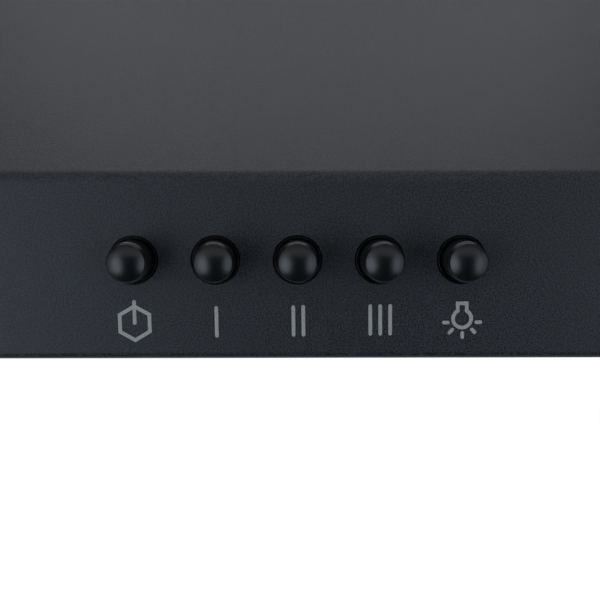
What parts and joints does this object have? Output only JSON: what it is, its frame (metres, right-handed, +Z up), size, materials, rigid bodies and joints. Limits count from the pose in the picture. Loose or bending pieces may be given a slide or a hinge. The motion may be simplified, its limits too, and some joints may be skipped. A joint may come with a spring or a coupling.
{
  "type": "chimney range hood",
  "caption": "Wall-mounted pyramid chimney range hood in black powder coat, with crowned push buttons on the fascia, swing-down grease filters, blower and telescopic chimney.",
  "frame": {"origin": "middle of the four wall screws, on the wall plane at the back of the hood", "axes": "+Z up, +Y into the wall, +X to the right of someone facing the hood"},
  "size_m": [0.598, 0.5136, 0.8382],
  "materials": {
    "black_paint": "fine-textured satin powder coat, near black",
    "galvanised": "zinc-coated sheet",
    "satin_black_plastic": "satin moulded plastic",
    "grey_plastic": "flame-retardant moulded plastic",
    "white_plastic": "moulded plastic",
    "filter_aluminium": "satin anodised frame",
    "mesh_aluminium": "expanded metal, bright",
    "motor_steel": "pressed steel can",
    "pin_steel": "ground steel",
    "screw_steel": "zinc-plated",
    "lamp_trim": "satin chrome ring",
    "lamp_lens": "frosted",
    "lamp_cup": "cast, plain"
  },
  "bodies": {
    "root": {"canopy_shell": "black_paint", "rear_panel": "galvanised", "underside_panel": "black_paint", "panel_screws": "screw_steel", "blower_deck": "galvanised", "deck_screws": "screw_steel", "scroll_left_half": "grey_plastic", "scroll_right_half": "grey_plastic", "motor": "motor_steel", "motor_spider": "galvanised", "outlet_spigot": "grey_plastic", "damper_pin": "pin_steel", "lower_flue_cover": "black_paint", "flue_foot_brackets": "galvanised", "lower_flue_screws": "screw_steel", "button_guide": "satin_black_plastic", "switch_block": "white_plastic", "switch_bracket": "galvanised", "switch_nuts": "screw_steel", "junction_box": "grey_plastic", "junction_cover": "grey_plastic", "terminal_block": "white_plastic", "motor_capacitor": "white_plastic", "led_driver": "white_plastic", "cable_gland": "satin_black_plastic", "lamp_bezel_left": "lamp_trim", "lamp_lens_left": "lamp_lens", "lamp_housing_left": "lamp_cup", "lamp_bezel_right": "lamp_trim", "lamp_lens_right": "lamp_lens", "lamp_housing_right": "lamp_cup"},
    "upper_flue": {"upper_flue_cover": "black_paint", "upper_flue_bracket": "galvanised"},
    "wheel": {"impeller": "satin_black_plastic", "motor_shaft": "pin_steel"},
    "damper_front": {"damper_front_flap": "satin_black_plastic"},
    "damper_rear": {"damper_rear_flap": "satin_black_plastic"},
    "filter_left": {"filter_frame_left": "filter_aluminium", "filter_mesh_left": "mesh_aluminium"},
    "filter_right": {"filter_frame_right": "filter_aluminium", "filter_mesh_right": "mesh_aluminium"},
    "latch_left": {"filter_latch_left": "satin_black_plastic"},
    "latch_right": {"filter_latch_right": "satin_black_plastic"},
    "power_key": {"button_power": "satin_black_plastic", "plunger_power": "white_plastic"},
    "speed_1_key": {"button_speed_1": "satin_black_plastic", "plunger_speed_1": "white_plastic"},
    "speed_2_key": {"button_speed_2": "satin_black_plastic", "plunger_speed_2": "white_plastic"},
    "speed_3_key": {"button_speed_3": "satin_black_plastic", "plunger_speed_3": "white_plastic"},
    "lamp_key": {"button_lamp": "satin_black_plastic", "plunger_lamp": "white_plastic"}
  },
  "joints": [
    {"name": "press_power", "type": "slide", "parent": "root", "child": "power_key", "axis": [0, 1, 0], "range_m": [0, 0.004], "stiffness_N_per_m": 500, "springref_m": -0.003},
    {"name": "press_speed_1", "type": "slide", "parent": "root", "child": "speed_1_key", "axis": [0, 1, 0], "range_m": [0, 0.004], "stiffness_N_per_m": 500, "springref_m": -0.003},
    {"name": "press_speed_2", "type": "slide", "parent": "root", "child": "speed_2_key", "axis": [0, 1, 0], "range_m": [0, 0.004], "stiffness_N_per_m": 500, "springref_m": -0.003},
    {"name": "press_speed_3", "type": "slide", "parent": "root", "child": "speed_3_key", "axis": [0, 1, 0], "range_m": [0, 0.004], "stiffness_N_per_m": 500, "springref_m": -0.003},
    {"name": "press_lamp", "type": "slide", "parent": "root", "child": "lamp_key", "axis": [0, 1, 0], "range_m": [0, 0.004], "stiffness_N_per_m": 500, "springref_m": -0.003},
    {"name": "swing_filter_left", "type": "hinge", "parent": "root", "child": "filter_left", "pos_m": [-0.1375, -0.0365, -0.1267], "axis": [1, 0, 0], "range_deg": [0, 75]},
    {"name": "slide_latch_left", "type": "slide", "parent": "filter_left", "child": "latch_left", "axis": [0, 1, 0], "range_m": [0, 0.005], "stiffness_N_per_m": 500, "springref_m": -0.003},
    {"name": "swing_filter_right", "type": "hinge", "parent": "root", "child": "filter_right", "pos_m": [0.1375, -0.0365, -0.1267], "axis": [1, 0, 0], "range_deg": [0, 75]},
    {"name": "slide_latch_right", "type": "slide", "parent": "filter_right", "child": "latch_right", "axis": [0, 1, 0], "range_m": [0, 0.005], "stiffness_N_per_m": 500, "springref_m": -0.003},
    {"name": "extend_flue", "type": "slide", "parent": "root", "child": "upper_flue", "axis": [0, 0, 1], "range_m": [-0.185, 0.13]},
    {"name": "spin_wheel", "type": "hinge", "parent": "root", "child": "wheel", "pos_m": [0, -0.095, 0.001], "axis": [1, 0, 0], "continuous": true},
    {"name": "open_damper_front", "type": "hinge", "parent": "root", "child": "damper_front", "pos_m": [0, -0.143, 0.1419], "axis": [-1, 0, 0], "range_deg": [0, 75]},
    {"name": "open_damper_rear", "type": "hinge", "parent": "root", "child": "damper_rear", "pos_m": [0, -0.143, 0.1419], "axis": [1, 0, 0], "range_deg": [0, 75]}
  ]
}
